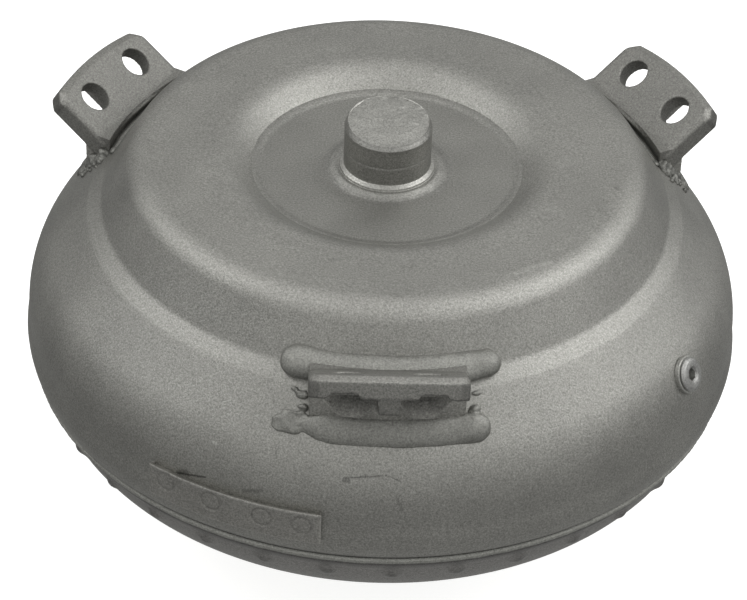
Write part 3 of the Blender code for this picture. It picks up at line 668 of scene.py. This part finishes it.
def tube(name, centres, sizes, frames, around=40):
    """A closed elliptic tube: sizes are (half width, half height) along each frame's two directions."""
    shape = bmesh.new()
    rings = []
    for centre, (wide, high), (across, out) in zip(centres, sizes, frames):
        ring = []
        for i in range(around):
            angle = 2 * math.pi * i / around
            spot = centre + across * wide * math.cos(angle) + out * high * math.sin(angle)
            ring.append(shape.verts.new(spot * MM))
        rings.append(ring)
    for here, there in zip(rings, rings[1:]):
        for i in range(around):
            k = (i + 1) % around
            shape.faces.new((here[i], there[i], there[k], here[k]))
    shape.faces.new(rings[0])
    shape.faces.new(rings[-1][::-1])
    bmesh.ops.recalc_face_normals(shape, faces=shape.faces)
    return mesh_from(name, shape)


def drop(index, x, radius, radii, sink=0.0):
    """A lump of weld metal on the cover, x from a lug's middle.

    Its radii lie sideways, down the cover's slope and out of it.
    """
    fall = (on_cover(radius - 0.3) - on_cover(radius + 0.3)) / 0.6
    turn = math.asin(x / radius)
    outward = Vector((math.sin(turn), -math.cos(turn), 0))
    sideways = Vector((math.cos(turn), math.sin(turn), 0))
    down = (outward - Vector((0, 0, fall))).normalized()
    out = down.cross(sideways)
    middle = outward * radius + Vector((0, 0, on_cover(radius) + SEAM)) - out * sink
    shape = bmesh.new()
    bmesh.ops.create_icosphere(shape, subdivisions=4, radius=1.0)
    for vertex in shape.verts:
        swell = 1 + 0.35 * noise.noise(vertex.co * 1.4 + Vector((index * 5.0 + x, 0, 0)))
        local = Vector(vertex.co[i] * radii[i] for i in range(3)) * swell
        vertex.co = (middle + sideways * local.x + down * local.y + out * local.z) * MM
    return mesh_from("drop", shape)


def spatter(index, side, count=24):
    """Small beads thrown about between the leg's side and the cover, thickest next to the leg."""
    beads = []
    for i in range(count):
        step = i / count
        wander = Vector(noise.noise(Vector((i * 3.7, index * 11.0 + 0.4, side * 1.3 + 7.1 * k)))
                        for k in range(3))
        x = side * (26.6 + 8.5 * step * step + 1.4 * wander.x)
        radius = 105.0 + 8.0 * (i * 0.618 % 1.0) + wander.z
        size = 2.3 - 1.5 * step + 0.7 * wander.y
        beads.append(drop(index, x, radius, (size, size, size * 1.15)))
    return beads


def weld_bead(index, level, line, ends, drops, shift=0.0):
    """Bead along a lug's edge: a flat rippled band lying on the cover, its ends swollen or run out.

    line is (radius, height, slope of the surface, half length, half width, half thickness); each of
    ends is (half width, half thickness, length of the change) at the left and right.
    """
    name = f"lug_weld_{level}_{index + 1}"
    radius, height, lean, reach, half_width, half_thickness = line
    slope = math.radians(lean)
    thinnest = 0.15
    count = 140
    centres = []
    sizes = []
    frames = []
    for i in range(count + 1):
        s = 2 * i / count - 1
        x = reach * s
        angle = math.asin((x - shift) / radius) - math.pi / 2
        outward = Vector((math.cos(angle), math.sin(angle), 0))
        out = outward * math.sin(slope) + Vector((0, 0, math.cos(slope)))
        down = outward * math.cos(slope) - Vector((0, 0, math.sin(slope)))
        end_width, end_thickness, change = ends[0] if s < 0 else ends[1]
        left = reach - abs(x)
        swell = min(1.0, max(0.0, (change + end_width - left) / change))
        swell = swell * swell * (3 - 2 * swell)
        wide = half_width + (end_width - half_width) * swell
        thick = half_thickness + (end_thickness - half_thickness) * swell
        tip = 1 - left / end_width
        round_off = math.sqrt(max(0.0, 1 - tip * tip)) if tip > 0 else 1.0
        wobble = 1 + 0.05 * noise.noise(Vector((x * 0.09, index * 7.0, height)))
        centres.append(outward * radius + Vector((0, 0, height + SEAM)))
        sizes.append([max(thinnest, size * round_off * wobble) for size in (wide, thick)])
        frames.append((down, out))
    bead = helper(name, joined(name, [tube(name, centres, sizes, frames)] + drops))

    def ripple(spot):
        """Crescents left by the torch, and a rough skin."""
        along = math.atan2(spot.x, -spot.y) * radius
        lateral = (math.hypot(spot.x, spot.y) - radius) * 0.5
        crescents = 0.02 * math.sin((along + lateral * lateral * 0.12) * 2.4)
        lumps = 0.13 * noise.noise(spot * 0.35 + Vector((index * 3.1, 0, 0)))
        return crescents + lumps + 0.03 * noise.noise(spot * 1.6)
    mesh = softened(bead, WELD_VOXEL, 4, ripple)
    if index:
        shade(mesh, lambda spot: -0.3 - 0.3 * noise.noise(spot * 0.6) if abs(spot.x) > 25.5 else -0.1)
    return piece(name + "_bead", mesh, name, 60.0, lug_turn(index))


def mounting_lugs():
    """Three like lugs; the welds of the first are full and smooth, those of the others lean and spattered."""
    shared = lug_mesh()
    for index in range(LUG_COUNT):
        piece(f"mounting_lug_{index + 1}_forging", shared, f"mounting_lug_{index + 1}", 40.0, lug_turn(index))
    left = [drop(0, -28.7, 109.3, (2.5, 1.5, 1.9)), drop(0, -28.0, 112.0, (2.0, 1.2, 2.2)),
            drop(0, -31.2, 108.4, (1.4, 0.9, 0.9)), drop(0, -31.0, 113.6, (4.4, 0.8, 1.1))]
    right = [drop(0, 30.2, 108.4, (2.0, 0.9, 1.0)), drop(0, 29.6, 112.0, (2.3, 1.7, 1.9)),
             drop(0, 28.0, 113.9, (1.2, 1.2, 1.6))]
    pad = [drop(0, -33.2, 116.2, (6.0, 3.8, 1.5), 0.2)]
    weld_bead(0, "upper", (102.3, 62.0, 36.0, 37.2, 5.4, 2.8), ((6.0, 4.0, 6.0), (4.9, 3.8, 6.0)), [], -0.9)
    weld_bead(0, "lower", (115.8, 46.0, 58.0, 35.2, 5.3, 2.2), ((0.9, 0.7, 15.0), (5.3, 3.4, 8.0)),
              left + right + pad)
    thin_end = (1.6, 0.8, 4.0)
    blunt_end = (3.0, 2.0, 5.0)
    for index in range(1, LUG_COUNT):
        weld_bead(index, "upper", (102.6, 60.0, 40.0, 28.5, 2.2, 1.0), (thin_end, thin_end), [])
        weld_bead(index, "lower", (115.2, 46.0, 58.0, 30.0, 4.6, 2.2), (blunt_end, blunt_end),
                  spatter(index, -1) + spatter(index, 1))


# ---------------------------------------------------------------- plug and balance strip
def drain_plug():
    """Collar screw with a hexagon socket, square to the cover's side, on its sealing ring."""
    radius = SIDE_ARC[0] + SIDE_ARC[2] * math.cos(PLUG_RISE)
    height = SIDE_ARC[1] + SIDE_ARC[2] * math.sin(PLUG_RISE)
    place = Matrix.Translation((0, 0, (height + SEAM) * MM)) @ Matrix.Rotation(PLUG_ANGLE, 4, "Z")
    place = place @ Matrix.Translation((radius * MM, 0, 0)) @ Matrix.Rotation(math.pi / 2 - PLUG_RISE, 4, "Y")
    settle = Matrix.Translation((0, 0, -SEAM * MM))
    section = rounded([(0, 2.55, 0), (2.6, 2.55, 0), (3.1, 2.7, 0.3), (4.9, 2.7, 0.9), (6.0, 2.0, 0.7),
                       (6.0, 1.2, 0.2), (3.9, 1.2, 0), (3.9, -7.5, 0), (0, -7.5, 0)], 15)
    head = turned("drain_plug_screw", section, 96)
    head.transform(settle)
    plug = helper("plug", head)
    socket_radius = 2.31                                  # to the hexagon's corners
    turns = [math.radians(60 * i + 30) for i in range(6)]
    hexagon = [(socket_radius * math.cos(turn), socket_radius * math.sin(turn)) for turn in turns]
    boolean(plug, extruded("socket", hexagon, -2.0, 6.0))
    bore = turned("socket_chamfer", [(0, 5), (5.6, 5), (2.1, 1.9), (0, 1.9)], 64)
    bore.transform(settle)
    boolean(plug, bore)
    piece("drain_plug_screw", settled(plug), "drain_plug", 30.0, place)
    section = rounded([(6.8, 1.05, 0.3), (6.8, -0.6, 0), (4.3, -0.6, 0), (4.3, 1.05, 0)], 20)
    ring = turned("plug_seal_ring", section, 96)
    ring.transform(settle)
    piece("plug_seal_ring", ring, "plug_seal", 30.0, place)


def balance_weight():
    """Thin strip on the cover's side; four round dents show where it is spot-welded."""
    across = 200
    up = 36
    low, high = WEIGHT_HEIGHTS
    outer = LIP_RADIUS + GAP + 1.5
    weld_radius = 3.5
    dents = [(WEIGHT_END - math.radians(away), (low + high) / 2 + 0.8 + 0.35 * i)
             for i, away in enumerate((3.0, 9.2, 17.5, 25.5))]
    shape = bmesh.new()
    grid = []
    for i in range(across + 1):
        angle = WEIGHT_START + (WEIGHT_END - WEIGHT_START) * i / across
        column = []
        for j in range(up + 1):
            z = low + (high - low) * j / up
            depth = 0.0
            for turn, level in dents:
                away = math.hypot((angle - turn) * outer, z - level) - weld_radius
                depth += 0.26 * math.exp(-(away / 0.6) ** 2) + 0.12 / (1 + math.exp(away / 0.4))
            edge = min(i * 0.6, (across - i) * 0.6, j * 1.5, (up - j) * 1.1)
            depth += 0.3 * math.exp(-edge) + 0.03 * (1 + noise.noise(Vector((angle * 30, z * 0.25, 0))))
            radius = outer - depth - 0.02
            spot = (radius * math.cos(angle) * MM, radius * math.sin(angle) * MM, (z + SEAM) * MM)
            column.append(shape.verts.new(spot))
        grid.append(column)
    for here, there in zip(grid, grid[1:]):
        for j in range(up):
            shape.faces.new((here[j], there[j], there[j + 1], here[j + 1]))
    strip = helper("strip", mesh_from("balance_weight_strip", shape))
    skin = strip.modifiers.new("skin", "SOLIDIFY")
    skin.thickness = 3.2 * MM
    skin.offset = -1
    mesh = settled(strip)

    def tone(spot):
        """Dark rings round the spot welds, and a painted highlight along the edges."""
        angle = math.atan2(spot.y, spot.x)
        height = spot.z - SEAM
        gaps = [math.hypot((angle - turn) * outer, height - level) - weld_radius for turn, level in dents]
        rings = sum(math.exp(-(gap / 0.35) ** 2) for gap in gaps)
        edge = min(height - low, high - height, (WEIGHT_END - angle) * outer)
        return 0.35 * math.exp(-(edge / 0.5) ** 2) - 0.2 * rings * (1 + noise.noise(spot * 0.5))
    shade(mesh, tone)
    return piece("balance_weight_strip", mesh, "balance_weight", 40.0)


# ---------------------------------------------------------------- pump side
def pump_knuckles(angle, radius, height):
    """Small bumps where the shell is pressed out for the blades' tabs, each with a flatter face below."""
    pitch = 2 * math.pi / KNUCKLE_COUNT
    nearest = round((angle - KNUCKLE_FIRST) / pitch) * pitch + KNUCKLE_FIRST
    sideways = (angle - nearest) * KNUCKLE_RADIUS
    along = math.hypot(radius - KNUCKLE_RADIUS, height - KNUCKLE_Z)
    if height > KNUCKLE_Z:
        along *= 0.9
    away = math.hypot(sideways / 2.7, along / 2.5)
    return 1.25 * math.exp(-away ** 2.4) - 0.1 * math.exp(-((away - 1.9) / 0.5) ** 2)


def pump_shell():
    centre = PUMP_TORUS[:2]
    spigot = LIP_RADIUS - COVER_WALL - 0.6
    hole = HUB_FLANGE + 0.7
    ledge = rounded([(spigot, 7.0, 0), (spigot, -3.3, 0.3), (125.9, -3.6, 0.5), (125.6, -4.6, 0.6),
                     (124.0, -7.2, 0)], 15)
    torus = arc(centre, PUMP_TORUS[2], -18.0, -132.0, 130)
    flat = rounded([torus[-1] + (0,), (59.0, PUMP_FLOOR_Z, 3.0), (hole, PUMP_FLOOR_Z, 0)], 15)
    outside = ledge[:-1] + torus[:-1] + flat
    inside = [(spigot - PUMP_WALL, 7.0), (spigot - PUMP_WALL, -4.0)]
    inside += arc(centre, PUMP_TORUS[2] - PUMP_WALL, -20.0, -130.0, 30)
    inside += [(60.0, PUMP_FLOOR_Z + PUMP_WALL), (hole, PUMP_FLOOR_Z + PUMP_WALL)]
    mesh = turned("pump_shell_bowl", outside + inside[::-1], 1088, pump_knuckles)

    def tone(spot):
        """Painted shade: dark under the weld in the seam, and on the lower face of each bump."""
        radius, height = math.hypot(spot.x, spot.y), spot.z - SEAM
        if height > -4.7:
            return -0.5
        if height < -16.0 or radius < 118.0:
            return 0.0
        return -0.28 * max(0.0, pump_knuckles(math.atan2(spot.y, spot.x), radius - 0.5, height + 0.9))
    shade(mesh, tone)
    return piece("pump_shell_bowl", mesh, "pump_shell")


def weld_ripple(angle, radius, height):
    """Fine crescents of a weld made in one turn, and its lumps."""
    spot = round_axis(radius, height, angle)
    return 0.06 * math.sin(angle * radius * 2.2) + 0.16 * noise.noise(spot * 0.25)


def closure_weld():
    """Bead in the seam between cover and pump shell, with a painted highlight along its middle and painted
    shade at its edges.
    """
    section = rounded([(126.6, -0.5, 0.4), (127.35, -1.7, 1.2), (126.8, -3.0, 0.7), (124.65, -3.0, 0),
                       (124.65, -0.2, 0)], 15)
    mesh = turned("closure_weld_bead", section, 900, weld_ripple)
    # painted highlight along the bead's middle, painted shade at its edges
    shade(mesh, lambda spot: 0.3 if -2.5 < spot.z - SEAM < -0.9 else -0.2)
    return piece("closure_weld_bead", mesh, "closure_weld", 60.0)


def hub_weld():
    section = rounded([(47.0, -23.6, 0.6), (45.4, -25.6, 1.5), (42.2, -26.0, 1.2), (40.6, -23.9, 0)], 20)
    mesh = turned("hub_weld_bead", section, 600, weld_ripple)
    return piece("hub_weld_bead", mesh, "hub_weld", 60.0)


def pump_hub():
    """Flanged tube with two drive slots across its end."""
    bottom = -SEAM
    section = rounded([
        (HUB_FLANGE, HUB_FLANGE_Z, 0),
        (HUB_FLANGE, HUB_FLANGE_Z - 4.6, 0.5),
        (HUB_RADIUS, HUB_FLANGE_Z - 5.4, 3),
        (HUB_RADIUS, bottom + 1.6, 0.4),
        (HUB_RADIUS - 1.2, bottom, 0.3),
        (HUB_BORE + 0.6, bottom, 0),
        (HUB_BORE, bottom + 0.8, 0),
        (HUB_BORE, HUB_FLANGE_Z, 0),
    ], step=10)
    hub = helper("hub", turned("pump_hub_tube", section, 192))
    slots = extruded("slots", [(-40, -5), (40, -5), (40, 5), (-40, 5)], -5, 9.0)
    boolean(hub, slots)
    bevelled(hub, 0.25, 50)
    return piece("pump_hub_tube", settled(hub), "pump_hub", 30.0)


# ---------------------------------------------------------------- stage
def floor():
    """Pale floor that throws no light on the object."""
    shape = bmesh.new()
    bmesh.ops.create_circle(shape, cap_ends=True, segments=96, radius=16.0)
    mesh = mesh_from("floor", shape)
    obj = helper("floor", mesh)
    paint = bpy.data.materials.new("floor_paint")
    paint.use_nodes = True
    tree = paint.node_tree
    shader = tree.nodes["Principled BSDF"]
    shader.inputs["Base Color"].default_value = (0.5, 0.5, 0.5, 1.0)
    shader.inputs["Roughness"].default_value = 0.9
    shader.inputs["Emission Color"].default_value = (1.0, 1.0, 0.99, 1.0)
    shader.inputs["Emission Strength"].default_value = 0.82
    mesh.materials.append(paint)
    obj.visible_glossy = False
    obj.visible_diffuse = False


def lamp(name, place, target, size, power):
    data = bpy.data.lights.new(name, "AREA")
    data.shape = "RECTANGLE"
    data.size, data.size_y = size
    data.energy = power
    obj = bpy.data.objects.new(name, data)
    obj.location = place
    obj.rotation_euler = (Vector(target) - Vector(place)).to_track_quat("-Z", "Y").to_euler()
    bpy.context.scene.collection.objects.link(obj)


def studio():
    """A pale room, dimmer towards the floor, with a large softbox high on either side."""
    world = bpy.data.worlds.new("studio")
    world.use_nodes = True
    tree = world.node_tree
    sky = tree.nodes["Background"]
    direction = add(tree, "ShaderNodeTexCoord").outputs["Generated"]
    rise = add(tree, "ShaderNodeSeparateXYZ", {0: direction}).outputs[2]
    ramp = add(tree, "ShaderNodeValToRGB", {0: spread(tree, rise, 0.0, 1.0, (-1.0, 1.0))})
    levels = [(0.0, 0.48), (0.25, 0.28), (0.5, 0.4), (0.64, 0.68), (0.8, 0.97), (1.0, 0.8)]
    stops = ramp.color_ramp.elements
    stops[0].position, stops[1].position = levels[0][0], levels[-1][0]
    for position, _ in levels[1:-1]:
        stops.new(position)
    for stop, (_, level) in zip(stops, levels):
        stop.color = (level, level, level * 0.985, 1.0)
    tree.links.new(ramp.outputs[0], sky.inputs["Color"])
    lean = vector_math(tree, "DOT_PRODUCT", direction, (0.13, -0.21, 0.0), "Value")
    tree.links.new(math_node(tree, "ADD", lean, 1.0), sky.inputs["Strength"])
    bpy.context.scene.world = world
    top = (0, 0, 0.1)
    lamp("softbox_left", (-1.1, 0.1, 1.32), top, (0.7, 0.7), 7.2)
    lamp("softbox_right", (1.2, 0.1, 1.25), top, (0.9, 1.1), 12.5)


def camera():
    """Long lens at the front lug's side, looking down on the cover, rolled slightly."""
    rise = math.radians(37.58)
    distance = 1.3534
    turn = Matrix.Rotation(math.radians(-1.85), 3, "Z")
    roll = math.radians(2.31)
    origin = Vector((0, 0, SEAM * MM))
    eye = origin + turn @ Vector((0, -math.cos(rise), math.sin(rise))) * distance
    target = origin + turn @ Vector((-0.00286, 0, 0.0143))
    ahead = (target - eye).normalized()
    side = ahead.cross(Vector((0, 0, 1))).normalized()
    up = side.cross(ahead)
    across = side * math.cos(roll) + up * math.sin(roll)
    upward = up * math.cos(roll) - side * math.sin(roll)
    data = bpy.data.cameras.new("camera")
    data.sensor_width = 36.0
    data.lens = 176.63
    data.clip_start = 0.05
    obj = bpy.data.objects.new("camera", data)
    place = Matrix((across, upward, -ahead)).transposed().to_4x4()
    place.translation = eye
    obj.matrix_world = place
    bpy.context.scene.collection.objects.link(obj)
    bpy.context.scene.camera = obj


bpy.context.scene.view_settings.view_transform = "Standard"
MATERIALS = make_materials()
for node_name, node_object in frame["nodes"].items():
    node_object.data.materials.clear()
    node_object.data.materials.append(MATERIALS[SLOT_OF[node_name]])
front_cover()
crank_pilot()
mounting_lugs()
drain_plug()
balance_weight()
pump_shell()
closure_weld()
pump_hub()
hub_weld()
floor()
studio()
camera()
